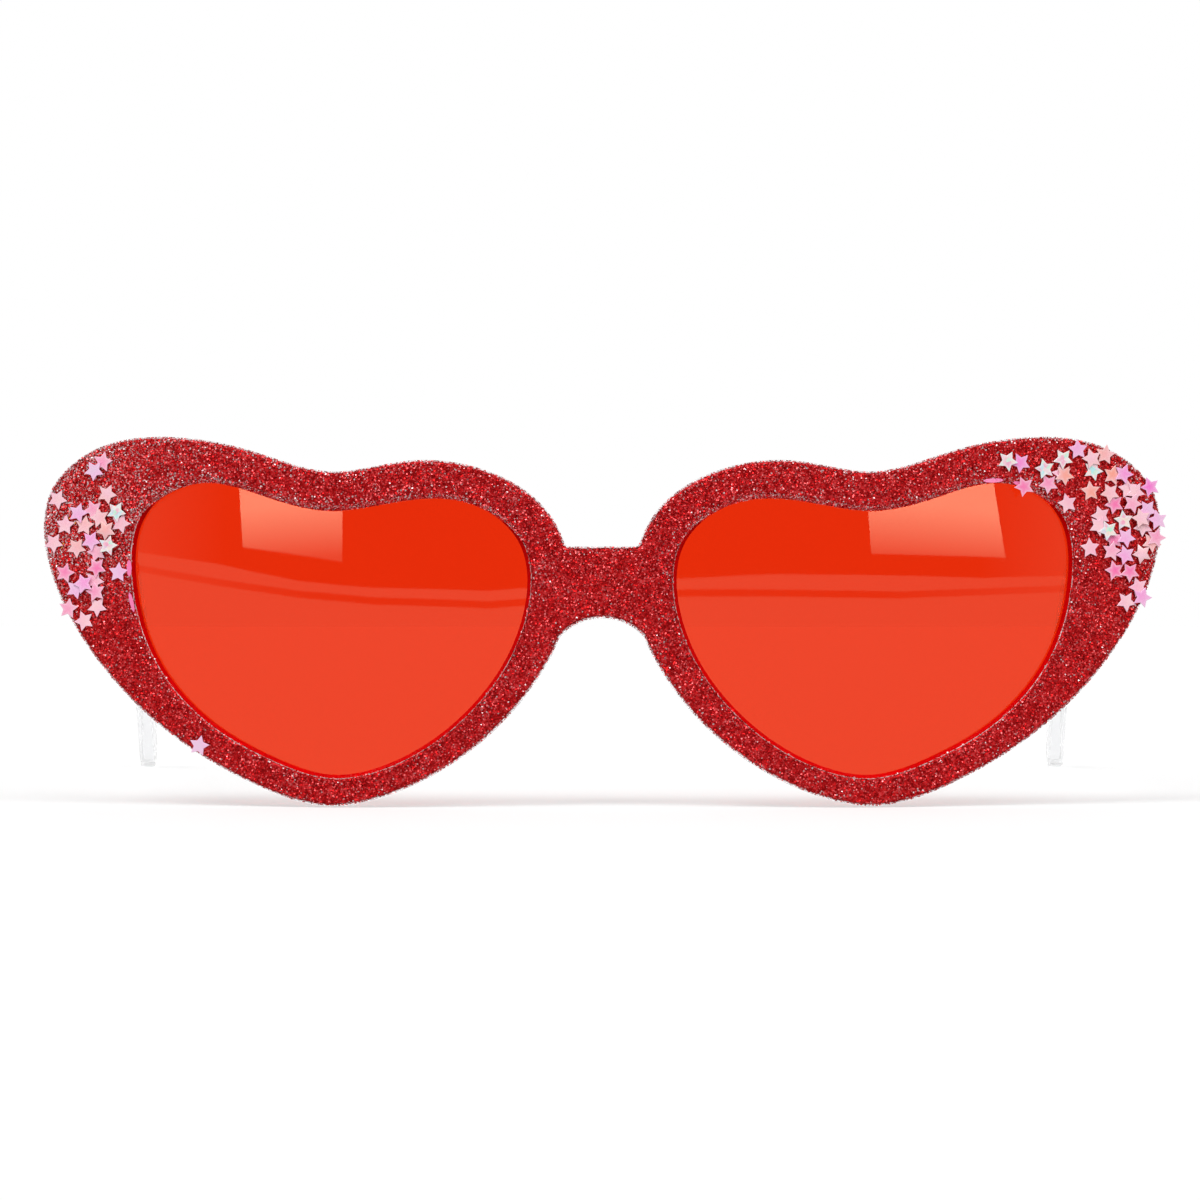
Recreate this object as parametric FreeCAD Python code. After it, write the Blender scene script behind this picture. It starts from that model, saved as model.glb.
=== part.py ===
"""Heart shaped party sunglasses: a clear front with a glitter face, tinted lenses and folding temples.

Millimetres. +Z is up, -Y is where the wearer looks, +X is the wearer's left. The glasses stand open on
a table: the hearts' lower edges and the temple tips touch z = 0, and the origin is under the middle.
"""
import FreeCAD, Part
import math
import os

Vector = FreeCAD.Vector
UP = Vector(0, 0, 1)
BACK = Vector(0, 1, 0)
ACROSS = Vector(1, 0, 0)
ORIGIN = Vector(0, 0, 0)

# Front moulding, drawn upright with the hearts' lowest edge at z = 0
FACE_RADIUS = 300.0
FRAME_THICK = 3.8
FRONT_EDGE_ROUND = 0.3
BACK_EDGE_ROUND = 0.6
WINDOW_BEVEL = 0.45
WINDOW_BEVEL_DEEP = 0.7
PRISM_DEPTH = 40.0
CURVE_LAP = 6
HEART_OUTER = [
    (61.0, 12.0), (70.2, 22.4), (75.2, 33.3), (75.1, 42.2), (69.3, 48.0), (58.1, 49.8),
    (46.8, 47.7), (36.2, 44.9), (26.7, 46.2), (15.7, 45.0), (7.1, 39.2), (4.1, 30.0),
    (8.9, 16.5), (19.0, 6.3), (29.3, 1.2), (36.1, 0.0), (46.7, 2.9),
]
HEART_APERTURE = [
    (51.9, 11.0), (59.3, 19.0), (62.9, 30.0), (61.2, 39.9), (54.2, 43.5), (45.1, 41.5),
    (36.2, 39.6), (27.1, 40.8), (17.5, 40.4), (11.2, 35.4), (10.6, 25.4), (17.6, 13.2),
    (28.5, 5.7), (36.1, 4.2), (43.9, 6.5),
]
BRIDGE_TOP = 34.7
BRIDGE_ARCH_TOP = 25.1
BRIDGE_ARCH_RADIUS = 7.5
BRIDGE_HALF_WIDTH = 7.2
BRIDGE_CORNER_ROUND = 0.7

# Lens and the groove that holds it
FRONT_LIP = 1.2
LENS_THICK = 1.1
GROOVE_PLAY = 0.15
GROOVE_REACH = 0.9
LENS_REACH = 0.8
REAR_LIP_SETBACK = 0.4

# Glitter layer on the front face
COAT_THICK = 0.4
COAT_SETBACK = 0.3
COAT_WINDOW_SETBACK = 0.6
COAT_ROUND = 0.25

# Nose pads moulded on the back of the rims
PAD_TOP = (7.9, 21.3)
PAD_LOW = (12.5, 13.9)
PAD_WIDTH = 2.6
PAD_DEPTH = 6.5
PAD_FLARE = 1.6
PAD_ROOT = 1.0
PAD_ROUND = 0.7
PAD_END_NARROWER = 0.2
PAD_END_SHORTER = 1.2

# Hinge
HINGE_X = 67.0
HINGE_Y = 16.9
HINGE_Z = 33.8
KNUCKLE_RADIUS = 2.0
KNUCKLE_TALL = 3.0
LUG_TALL = 2.6
HINGE_PLAY = 0.1
PIN_RADIUS = 0.65
PIN_RUNNING_PLAY = 0.05
PIN_HEAD_RADIUS = 1.1
PIN_HEAD_TALL = 0.5
PIN_HEAD_ROUND = 0.3
STOP_GAP = 0.25
BLOCK_INNER_X = 64.8
BLOCK_ROUND = 0.8

# Temple, drawn in the hinge's own frame: first number behind the hinge axis, second above the hearts' edge
TEMPLE_THICK = 2.6
TEMPLE_OFFSET = 2.4
TEMPLE_FRONT = -2.3
TEMPLE_TOP = 38.8
TEMPLE_BASE = 28.8
TEMPLE_ROUND = 0.6
SPLAY = 2.0
BEND_START = 70.0
UPPER_BEND = [(84.0, 37.7), (96.4, 35.0), (110.4, 29.2), (127.7, 18.0)]
TIP_SHOULDER = (132.9, 12.6)
TIP_END = (134.1, 8.6)
TIP_LOW = (131.3, 5.8)
TIP_HEEL = (126.6, 8.7)
LOWER_BEND = [
    (110.4, 22.9), (104.0, 27.2), (96.4, 30.1), (86.5, 31.4), (74.0, 30.3), (48.0, 29.1), (20.0, 28.8),
]
WEB_FRONT = 1.6

# Star sequins: place across and above the hearts' edge, and turn in degrees
STAR_RADIUS = 1.45
STAR_INNER_RADIUS = 0.74
STAR_THICK = 0.14
STAR_PITCH = 0.18
STAR_CLEAR = 0.05
STARS_LEFT = {
    "pink": [
        (62.0, 44.8, 10), (60.2, 43.4, 30), (56.9, 43.0, 24), (62.8, 40.8, 15), (71.2, 42.9, 8),
        (72.2, 42.5, 40), (69.3, 40.8, 25), (71.8, 40.9, 50), (67.4, 39.2, 20), (67.1, 37.8, 45),
        (73.3, 37.8, 30), (69.2, 36.0, 12), (75.1, 36.3, 55), (65.9, 34.8, 5), (68.9, 34.4, 60),
        (69.3, 31.8, 15), (71.4, 31.6, 33), (72.6, 29.6, 20), (70.9, 27.6, 40),
    ],
    "lilac": [
        (64.3, 48.1, 5), (56.4, 46.2, 28), (70.6, 44.9, 50), (74.3, 43.2, 22), (73.9, 40.1, 36),
        (75.3, 38.7, 12), (70.9, 36.3, 44), (70.8, 33.9, 18), (73.1, 28.2, 52),
    ],
    "peach": [
        (66.2, 46.9, 18), (62.4, 44.6, 42), (66.0, 42.5, 6), (68.7, 42.3, 30), (69.1, 44.7, 56),
        (73.0, 38.9, 15), (74.5, 35.7, 40), (73.1, 34.1, 24), (68.1, 47.5, 62),
    ],
    "hologram": [
        (54.6, 46.4, 45), (59.7, 45.4, 14), (62.2, 46.8, 34), (66.4, 45.3, 50), (70.6, 38.6, 8),
        (68.4, 37.2, 26),
    ],
}
STARS_RIGHT = {
    "pink": [
        (67.5, 46.5, 12), (73.8, 41.5, 28), (68.8, 40.0, 48), (65.0, 38.1, 20), (72.7, 38.0, 6),
        (74.3, 35.6, 33), (68.3, 34.3, 55), (72.7, 31.5, 16), (68.3, 32.2, 40), (68.6, 30.4, 25),
        (68.4, 28.9, 60), (72.2, 26.7, 9), (68.2, 26.9, 36), (70.0, 25.0, 50),
    ],
    "lilac": [
        (68.7, 45.3, 40), (70.9, 39.6, 18), (69.1, 35.8, 30), (65.3, 31.5, 5), (70.1, 30.0, 52),
        (71.2, 29.3, 22), (54.1, 8.1, 14),
    ],
    "peach": [
        (66.9, 42.1, 26), (67.9, 38.9, 58), (70.0, 37.9, 10), (67.0, 37.2, 42), (71.1, 34.9, 34),
    ],
    "hologram": [(65.6, 39.7, 30), (66.7, 35.1, 15)],
}


def closed_curve(places):
    """Smooth closed curve through the places: a spline run past both its ends, then cut to one lap."""
    lap = places[-CURVE_LAP:] + places + places[:CURVE_LAP + 1]
    reach = [0.0]
    for place, following in zip(lap, lap[1:]):
        reach.append(reach[-1] + (following - place).Length)
    curve = Part.BSplineCurve()
    curve.interpolate(Points=lap, Parameters=reach)
    curve.segment(reach[CURVE_LAP], reach[CURVE_LAP + len(places)])
    return curve


def heart_curve(points, grow=0.0):
    """Heart outline, moved outwards by grow along its own normals."""
    places = [Vector(x, 0, z) for x, z in points]
    curve = closed_curve(places)
    if grow == 0.0:
        return curve
    outward = [BACK.cross(curve.tangent(curve.parameter(place))[0]) for place in places]
    return closed_curve([place + side * grow for place, side in zip(places, outward)])


def prism(*edges):
    """Solid of a closed outline in the front plane, run from before the front to well behind it."""
    face = Part.Face(Part.Wire(Part.__sortEdges__(list(edges))))
    face.translate(BACK * -PRISM_DEPTH / 4)
    return face.extrude(BACK * PRISM_DEPTH)


def heart_prism(points, grow=0.0):
    return prism(heart_curve(points, grow).toShape())


def shell(front, back):
    """Layer of the wrapped front between two depths behind the moulding's face."""
    low = Vector(0, FACE_RADIUS, -PRISM_DEPTH)
    outside = Part.makeCylinder(FACE_RADIUS - front, 3 * PRISM_DEPTH, low)
    inside = Part.makeCylinder(FACE_RADIUS - back, 3 * PRISM_DEPTH, low)
    return outside.cut(inside)


def mirrored(shape):
    return shape.mirror(ORIGIN, ACROSS)


def depth_at(x, behind):
    """Y of the layer that lies a given depth behind the face, at a distance x from the middle."""
    return FACE_RADIUS - math.sqrt((FACE_RADIUS - behind) ** 2 - x ** 2)


def bridge_prism(grow):
    """Bar between the hearts: flat on top, arched below for the nose."""
    half = BRIDGE_HALF_WIDTH
    top = BRIDGE_TOP + grow
    radius = BRIDGE_ARCH_RADIUS - grow
    centre = BRIDGE_ARCH_TOP - BRIDGE_ARCH_RADIUS
    spring = centre + math.sqrt(radius ** 2 - half ** 2)
    arch = Part.Arc(Vector(-half, 0, spring), Vector(0, 0, centre + radius), Vector(half, 0, spring))
    corners = [Vector(x, 0, z) for x, z in ((half, spring), (half, top), (-half, top), (-half, spring))]
    return prism(arch.toShape(), *Part.makePolygon(corners).Edges)


def face_outline(grow=0.0):
    """Both hearts joined by the bridge, as one prism with the bridge's corners eased."""
    heart = heart_prism(HEART_OUTER, grow)
    joined = heart.fuse([mirrored(heart), bridge_prism(grow)]).removeSplitter()
    upright = [edge for edge in joined.Edges if edge.BoundBox.YLength > PRISM_DEPTH - 1.0]
    corners = [edge for edge in upright if abs(edge.BoundBox.Center.x) < BRIDGE_HALF_WIDTH]
    return joined.makeFillet(BRIDGE_CORNER_ROUND, corners)


def wrapped_face(solid, behind):
    """Largest face of the solid on the wrapped layer at a depth behind the moulding's face."""
    radius = FACE_RADIUS - behind
    on_layer = [face for face in solid.Faces
                if isinstance(face.Surface, Part.Cylinder) and abs(face.Surface.Radius - radius) < 0.01]
    return max(on_layer, key=lambda face: face.Area)


def nose_pad():
    """Low fin on the back of a rim, narrower and further from the nose at its free end."""
    run = Vector(PAD_LOW[0] - PAD_TOP[0], 0, PAD_LOW[1] - PAD_TOP[1])
    along = Vector(run).normalize()
    side = BACK.cross(along)

    def stadium(y, radius, inset, shift):
        top = Vector(PAD_TOP[0] + shift, y, PAD_TOP[1]) + along * inset
        low = Vector(PAD_LOW[0] + shift, y, PAD_LOW[1]) - along * inset
        return Part.Wire(Part.__sortEdges__([
            Part.Arc(top - side * radius, top - along * radius, top + side * radius).toShape(),
            Part.makeLine(top + side * radius, low + side * radius),
            Part.Arc(low + side * radius, low + along * radius, low - side * radius).toShape(),
            Part.makeLine(low - side * radius, top - side * radius),
        ]))

    root = depth_at(PAD_TOP[0], FRAME_THICK) - PAD_ROOT
    end = root + PAD_ROOT + PAD_DEPTH
    root_outline = stadium(root, PAD_WIDTH / 2, 0.0, 0.0)
    end_outline = stadium(end, PAD_WIDTH / 2 - PAD_END_NARROWER, PAD_END_SHORTER, PAD_FLARE)
    pad = Part.makeLoft([root_outline, end_outline], True, True)
    tip_edges = [edge for edge in pad.Edges if edge.BoundBox.YMin > end - 0.01]
    return pad.makeFillet(PAD_ROUND, tip_edges)


def knuckle(centre_z, tall, radius):
    return Part.makeCylinder(radius, tall, Vector(HINGE_X, HINGE_Y, centre_z - tall / 2))


def lug_heights():
    """Heights of the middles of the lower and upper lugs, either side of the temple's knuckle."""
    step = KNUCKLE_TALL / 2 + HINGE_PLAY + LUG_TALL / 2
    return HINGE_Z - step, HINGE_Z + step


def hinge_end():
    """Block behind the rim's outer side that the temple butts against, with its two hinge lugs."""
    outer_x = HINGE_X + TEMPLE_OFFSET + TEMPLE_THICK
    block_back = HINGE_Y + TEMPLE_FRONT - STOP_GAP
    block_front = depth_at(BLOCK_INNER_X, FRAME_THICK / 2)
    block = Part.makeBox(outer_x - BLOCK_INNER_X, block_back - block_front, TEMPLE_TOP - TEMPLE_BASE,
                         Vector(BLOCK_INNER_X, block_front, TEMPLE_BASE))
    long_edges = [edge for edge in block.Edges if edge.BoundBox.YLength > 1.0]
    block = block.makeFillet(BLOCK_ROUND, long_edges)
    lugs = []
    for height in lug_heights():
        reach = HINGE_Y - block_back
        low = Vector(HINGE_X - KNUCKLE_RADIUS, block_back - BLOCK_ROUND, height - LUG_TALL / 2)
        root = Part.makeBox(2 * KNUCKLE_RADIUS, reach + BLOCK_ROUND, LUG_TALL, low)
        lugs.append(knuckle(height, LUG_TALL, KNUCKLE_RADIUS).fuse(root))
    return block.fuse(lugs)


def pin_hole(radius):
    tall = TEMPLE_TOP - TEMPLE_BASE
    return Part.makeCylinder(radius, 2 * tall, Vector(HINGE_X, HINGE_Y, TEMPLE_BASE - tall / 2))


def front_frame():
    blank = face_outline().common(shell(0.0, FRAME_THICK))
    blank = blank.makeFillet(FRONT_EDGE_ROUND, wrapped_face(blank, 0.0).OuterWire.Edges)
    blank = blank.makeFillet(BACK_EDGE_ROUND, wrapped_face(blank, FRAME_THICK).OuterWire.Edges)
    groove_back = FRONT_LIP + LENS_THICK + GROOVE_PLAY
    opening = heart_prism(HEART_APERTURE).common(shell(-1.0, FRONT_LIP))
    groove = heart_prism(HEART_APERTURE, GROOVE_REACH).common(shell(FRONT_LIP, groove_back))
    rear = heart_prism(HEART_APERTURE, REAR_LIP_SETBACK).common(shell(groove_back, FRAME_THICK + 1.0))
    cutter = opening.fuse([groove, rear])
    body = blank.cut([cutter, mirrored(cutter)])
    face = wrapped_face(body, 0.0)
    windows = [edge for wire in face.Wires if not wire.isSame(face.OuterWire) for edge in wire.Edges]
    body = body.makeChamfer(WINDOW_BEVEL, WINDOW_BEVEL_DEEP, windows)
    half_adds = hinge_end().fuse(nose_pad())
    hole = pin_hole(PIN_RADIUS)
    body = body.fuse([half_adds, mirrored(half_adds)]).cut([hole, mirrored(hole)])
    return body.removeSplitter()


def glitter_coat():
    skin = face_outline(-COAT_SETBACK).common(shell(-COAT_THICK, 0.0))
    window = heart_prism(HEART_APERTURE, COAT_WINDOW_SETBACK)
    skin = skin.cut([window, mirrored(window)])
    return skin.makeFillet(COAT_ROUND, wrapped_face(skin, -COAT_THICK).Edges)


def lens():
    return heart_prism(HEART_APERTURE, LENS_REACH).common(shell(FRONT_LIP, FRONT_LIP + LENS_THICK))


def temple():
    """Flat arm with a bent, flared ear end, carrying the middle knuckle on its inner face."""
    def at(point):
        return Vector(HINGE_X + TEMPLE_OFFSET, HINGE_Y + point[0], point[1])

    bend_start = (BEND_START, TEMPLE_TOP)
    base_end = (TEMPLE_FRONT, TEMPLE_BASE)
    upper = Part.BSplineCurve()
    upper_points = [at(point) for point in [bend_start] + UPPER_BEND]
    upper.interpolate(Points=upper_points, InitialTangent=BACK,
                      FinalTangent=at(TIP_SHOULDER) - at(UPPER_BEND[-2]))
    lower = Part.BSplineCurve()
    lower.interpolate(Points=[at(point) for point in [TIP_HEEL] + LOWER_BEND])
    tip = Part.BSplineCurve()
    tip_points = [at(point) for point in [UPPER_BEND[-1], TIP_SHOULDER, TIP_END, TIP_LOW, TIP_HEEL]]
    tip.interpolate(Points=tip_points,
                    InitialTangent=upper.tangent(upper.LastParameter)[0],
                    FinalTangent=lower.tangent(lower.FirstParameter)[0])
    outline = Part.Wire(Part.__sortEdges__([
        Part.makeLine(at((TEMPLE_FRONT, TEMPLE_TOP)), at(bend_start)),
        upper.toShape(), tip.toShape(), lower.toShape(),
        Part.makeLine(at(LOWER_BEND[-1]), at(base_end)),
        Part.makeLine(at(base_end), at((TEMPLE_FRONT, TEMPLE_TOP))),
    ]))
    plate = Part.Face(outline).extrude(ACROSS * TEMPLE_THICK)
    flat_edges = [edge for edge in plate.Edges if edge.BoundBox.XLength < 0.01]
    plate = plate.makeFillet(TEMPLE_ROUND, [edge for edge in flat_edges if edge.BoundBox.YLength > 1.0])
    web = Part.makeBox(TEMPLE_OFFSET + TEMPLE_ROUND, WEB_FRONT + KNUCKLE_RADIUS, KNUCKLE_TALL,
                       Vector(HINGE_X, HINGE_Y - WEB_FRONT, HINGE_Z - KNUCKLE_TALL / 2))
    arm = plate.fuse([knuckle(HINGE_Z, KNUCKLE_TALL, KNUCKLE_RADIUS), web])
    arm = arm.cut(pin_hole(PIN_RADIUS + PIN_RUNNING_PLAY)).removeSplitter()
    arm.rotate(Vector(HINGE_X, HINGE_Y, 0), UP, -SPLAY)
    return arm


def hinge_pin():
    low, high = lug_heights()
    foot = low - LUG_TALL / 2
    shoulder = high + LUG_TALL / 2
    shank = Part.makeCylinder(PIN_RADIUS, shoulder - foot, Vector(HINGE_X, HINGE_Y, foot))
    head = Part.makeCylinder(PIN_HEAD_RADIUS, PIN_HEAD_TALL, Vector(HINGE_X, HINGE_Y, shoulder))
    rim = [edge for edge in head.Edges if edge.BoundBox.ZMin > shoulder + PIN_HEAD_TALL - 0.01]
    return shank.fuse(head.makeFillet(PIN_HEAD_ROUND, rim)).removeSplitter()


def star_face(turn):
    """Five-pointed star in the front plane about the origin, one arm up when turn is 0."""
    corners = []
    for k in range(10):
        reach = STAR_INNER_RADIUS if k % 2 else STAR_RADIUS
        angle = math.radians(90 + turn + 36 * k)
        corners.append(Vector(reach * math.cos(angle), 0, reach * math.sin(angle)))
    return Part.Face(Part.makePolygon(corners + corners[:1]))


def clear_of(flat, layer):
    return all(flat.distToShape(other)[0] > STAR_CLEAR for other in layer)


def star_groups(stars):
    """One compound of star plates per colour. A star that covers others lies one layer above them."""
    layers = []
    groups = {colour: [] for colour in stars}
    for colour, places in stars.items():
        for x, z, turn in places:
            face = star_face(turn)
            flat = face.translated(Vector(x, 0, z))
            level = 0
            while level < len(layers) and not clear_of(flat, layers[level]):
                level += 1
            if level == len(layers):
                layers.append([])
            layers[level].append(flat)
            height = COAT_THICK + level * STAR_PITCH
            plate = face.extrude(BACK * -STAR_THICK)
            plate.rotate(ORIGIN, UP, math.degrees(math.asin(x / (FACE_RADIUS + height))))
            plate.translate(Vector(x, depth_at(x, -height), z))
            groups[colour].append(plate)
    return {colour: Part.makeCompound(plates) for colour, plates in groups.items()}


def tight_box(shape):
    return shape.optimalBoundingBox(False, False)


def stance(front, arm):
    """Lean that brings the hearts' edges and the temple tips down to one level."""
    lean = 0.0
    for _ in range(4):
        ends = [shape.copy() for shape in (front, arm)]
        for end in ends:
            end.rotate(ORIGIN, ACROSS, -lean)
        rise = tight_box(ends[1]).ZMin - tight_box(ends[0]).ZMin
        lean += math.degrees(math.atan2(rise, HINGE_Y + TIP_LOW[0]))
    return lean


nodes = {
    "front_frame": front_frame(),
    "glitter_coat": glitter_coat(),
    "lens_left": lens(),
    "temple_left": temple(),
    "hinge_pin_left": hinge_pin(),
}
for name in ("lens", "temple", "hinge_pin"):
    nodes[name + "_right"] = mirrored(nodes[name + "_left"])
for colour, group in star_groups(STARS_LEFT).items():
    nodes["star_sequins_" + colour + "_left"] = group
for colour, group in star_groups(STARS_RIGHT).items():
    nodes["star_sequins_" + colour + "_right"] = mirrored(group)

# Stand the glasses on the table, with the origin under the middle of their box
lean = stance(nodes["front_frame"], nodes["temple_left"])
for shape in nodes.values():
    shape.rotate(ORIGIN, ACROSS, -lean)
boxes = [tight_box(shape) for shape in nodes.values()]
front_y = min(box.YMin for box in boxes)
back_y = max(box.YMax for box in boxes)
settle = Vector(0, -(front_y + back_y) / 2, -min(box.ZMin for box in boxes))

os.makedirs("parts", exist_ok=True)
for name, shape in nodes.items():
    shape.translate(settle)
    shape.exportStep("parts/" + name + ".step")
    print(name, "solids", len(shape.Solids), "valid", shape.isValid(), "volume", round(shape.Volume, 2))

turn = FreeCAD.Rotation(ACROSS, -lean)
hinge = turn.multVec(Vector(HINGE_X, HINGE_Y, HINGE_Z)) + settle
axis = turn.multVec(UP)
print("lean", round(lean, 4), "hinge", [round(v, 4) for v in hinge], "axis", [round(v, 6) for v in axis])
for name in ("front_frame", "glitter_coat", "lens_left", "temple_left", "star_sequins_lilac_left"):
    box = tight_box(nodes[name])
    print(name, [round(v, 3) for v in (box.XMin, box.YMin, box.ZMin, box.XMax, box.YMax, box.ZMax)])
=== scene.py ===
"""Heart shaped party sunglasses: clear moulding, tinted lenses, glitter, star sequins, temples and pins."""
import math

import bmesh
import bpy
import numpy as np
from mathutils import Matrix, Vector
from mathutils.kdtree import KDTree


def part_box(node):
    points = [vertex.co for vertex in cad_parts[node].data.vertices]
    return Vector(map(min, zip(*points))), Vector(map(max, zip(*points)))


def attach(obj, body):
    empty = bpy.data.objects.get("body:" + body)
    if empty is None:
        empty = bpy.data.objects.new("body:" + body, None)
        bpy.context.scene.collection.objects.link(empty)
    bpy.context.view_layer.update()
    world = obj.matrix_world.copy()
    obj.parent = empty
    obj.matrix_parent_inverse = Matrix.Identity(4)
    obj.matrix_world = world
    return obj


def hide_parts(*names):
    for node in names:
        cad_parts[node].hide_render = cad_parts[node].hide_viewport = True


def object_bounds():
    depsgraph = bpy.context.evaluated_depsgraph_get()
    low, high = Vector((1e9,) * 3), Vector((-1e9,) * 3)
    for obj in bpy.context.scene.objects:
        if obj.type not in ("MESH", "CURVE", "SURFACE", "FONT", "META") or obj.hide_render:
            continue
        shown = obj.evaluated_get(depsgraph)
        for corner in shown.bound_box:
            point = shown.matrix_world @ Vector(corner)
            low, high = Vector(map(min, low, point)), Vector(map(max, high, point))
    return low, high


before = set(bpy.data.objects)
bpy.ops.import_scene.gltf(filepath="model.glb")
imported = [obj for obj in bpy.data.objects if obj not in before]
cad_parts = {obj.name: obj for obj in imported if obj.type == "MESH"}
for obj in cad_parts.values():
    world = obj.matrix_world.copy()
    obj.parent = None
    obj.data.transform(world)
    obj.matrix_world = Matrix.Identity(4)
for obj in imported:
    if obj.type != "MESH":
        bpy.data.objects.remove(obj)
cad_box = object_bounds()


# The front is one shot of clear polystyrene: both heart rims, the bridge, nose pads and hinge lugs.
# It leaves a polished tool glossy, with faint flow waves. Red lacquer has crept into its two windows and
# stains the wall round each lens. Painted shade makes that wall deep red at the sides and the foot, and
# painted light makes it as bright as the lens under the brow.
MM = 0.001
WRAP_RADIUS = 300 * MM
FACE_LEAN = math.radians(2.32)
FACE_FOOT = -75.77 * MM
LENS_DEPTH = 1.2 * MM
CLEAR_PLASTIC = (0.80, 0.81, 0.83, 1.0)
CLEAR_ALPHA = 0.5
PLASTIC_IOR = 1.49
FLOW_WAVE = 11 * MM
FLOW_DEPTH = 0.02 * MM
FLOW_SHEEN = (0.0, 0.06)
FLOW_BUMP = 0.4
# Reds of the window wall: deeper ones are painted shade for its sides and foot, brighter ones painted light
# under the brow.
STAIN_RED_PAINTED_SHADE = (0.62, 0.0, 0.001, 1.0)
STAIN_DARK_PAINTED_SHADE = (0.50, 0.0, 0.001, 1.0)
BROW_RED_PAINTED_LIGHT = (0.78, 0.022, 0.003, 1.0)
BROW_DARK_PAINTED_LIGHT = (0.72, 0.018, 0.003, 1.0)
STAIN_RUN = 1.5 * MM
STAIN_STOPS = (0.3, 0.6)
STAINED_SHEEN = (0.15, 0.3)
BROW_SHEEN = (0.05, 0.2)
BROW_FACING = -0.6
WINDOW_MARGIN = 0.6 * MM
WALL_FACING = (-0.8, 0.3)
WELD_GAP = 0.001 * MM
SHARP_DEGREES = 30
BARE_SLOT = 0
SHADED_RED_SLOT = 1
LIT_RED_SLOT = 2


class Wire:
    """A socket in a material. Arithmetic on it adds Math nodes, and node() adds any other node."""

    def __init__(self, tree, socket=None):
        self.tree = tree
        self.socket = socket

    def node(self, kind, settings=None, inputs=None, output=0):
        made = self.tree.nodes.new(kind)
        for name, value in (settings or {}).items():
            if name == "stops":
                self.set_stops(made.color_ramp.elements, value)
            else:
                setattr(made, name, value)
        for name, value in (inputs or {}).items():
            if isinstance(value, Wire):
                self.tree.links.new(value.socket, made.inputs[name])
            else:
                made.inputs[name].default_value = value
        return Wire(self.tree, made.outputs[output])

    @staticmethod
    def set_stops(elements, stops):
        while len(elements) < len(stops):
            elements.new(1.0)
        for element, (position, colour) in zip(elements, stops):
            element.position = position
            element.color = colour

    def output(self, name):
        return Wire(self.tree, self.socket.node.outputs[name])

    def into(self, node, name):
        self.tree.links.new(self.socket, node.inputs[name])

    def noise(self, size, detail):
        """Soft blotches of about this size over the places that this wire carries."""
        return self.node("ShaderNodeTexNoise", inputs={"Vector": self, "Scale": 1 / size, "Detail": detail})

    def ramp(self, stops):
        """Colours at their stops along this wire's values."""
        return self.node("ShaderNodeValToRGB", {"stops": stops}, {0: self})

    def blend(self, first, second):
        """The first colour where this wire is nought, going over to the second where it is one."""
        return self.node("ShaderNodeMix", {"data_type": "RGBA"}, {0: self, 6: first, 7: second}, output=2)

    def roughen(self, shader, least, added):
        """Roughness that starts at the least and grows with this pattern."""
        (least + self * added).into(shader, "Roughness")

    def emboss(self, shader, depth, strength):
        """Relief on the surface, as high as this pattern."""
        bump = self.node("ShaderNodeBump", inputs={"Strength": strength, "Distance": depth, "Height": self})
        bump.into(shader, "Normal")

    def maths(self, operation, first, second):
        return self.node("ShaderNodeMath", {"operation": operation}, {0: first, 1: second})

    def __add__(self, other):
        return self.maths("ADD", self, other)

    def __sub__(self, other):
        return self.maths("SUBTRACT", self, other)

    def __rsub__(self, other):
        return self.maths("SUBTRACT", other, self)

    def __mul__(self, other):
        return self.maths("MULTIPLY", self, other)

    __radd__ = __add__
    __rmul__ = __mul__


def new_finish(name, sockets):
    """Material with its constant sockets set, its shader, and the place of a point on the piece."""
    material = bpy.data.materials.new(name)
    material.use_nodes = True
    shader = material.node_tree.nodes["Principled BSDF"]
    for socket, value in sockets.items():
        shader.inputs[socket].default_value = value
    place = Wire(material.node_tree).node("ShaderNodeTexCoord", output="Object")
    return material, shader, place


def clear_plastic():
    material, shader, place = new_finish("clear_plastic", {
        "Base Color": CLEAR_PLASTIC, "IOR": PLASTIC_IOR, "Transmission Weight": 1.0, "Alpha": CLEAR_ALPHA})
    flow = place.noise(FLOW_WAVE, detail=2.0)
    flow.roughen(shader, *FLOW_SHEEN)
    flow.emboss(shader, FLOW_DEPTH, FLOW_BUMP)
    return material


def stained_wall_painted_light(name, dark, bright, sheen, sockets):
    """Plastic stained in runs from a dark red to a bright one; the given reds carry painted light or shade.
    """
    material, shader, place = new_finish(name, {"IOR": PLASTIC_IOR, **sockets})
    run = place.noise(STAIN_RUN, detail=3.0)
    red = run.ramp(list(zip(STAIN_STOPS, (dark, bright))))
    red.into(shader, "Base Color")
    run.roughen(shader, *sheen)
    return material


def depth_behind_face(spot):
    """How far a place lies behind the wrapped and leaning face of the moulding."""
    wrap = WRAP_RADIUS - math.sqrt(WRAP_RADIUS ** 2 - spot.x ** 2)
    return spot.y - FACE_FOOT - wrap * math.cos(FACE_LEAN) - spot.z * math.sin(FACE_LEAN)


def on_window_wall(face, low, high):
    """True for a face of the bevel and wall in front of the lens whose corners are given."""
    spot = face.center
    inside = all(low[k] - WINDOW_MARGIN < spot[k] < high[k] + WINDOW_MARGIN for k in (0, 2))
    towards = (low + high) / 2 - spot
    looks_in = face.normal.x * towards.x + face.normal.z * towards.z > 0
    upright = WALL_FACING[0] < face.normal.y < WALL_FACING[1]
    return inside and looks_in and upright and depth_behind_face(spot) < LENS_DEPTH


def wall_slot(face):
    """A moulding face's slot: bare plastic, window wall in painted shade, or in painted light under the
    brow.
    """
    if not any(on_window_wall(face, *corners) for corners in lens_corners):
        return BARE_SLOT
    # Walls looking down under the brow take the red of painted light; the other window walls take painted
    # shade.
    return LIT_RED_SLOT if face.normal.z < BROW_FACING else SHADED_RED_SLOT


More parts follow.
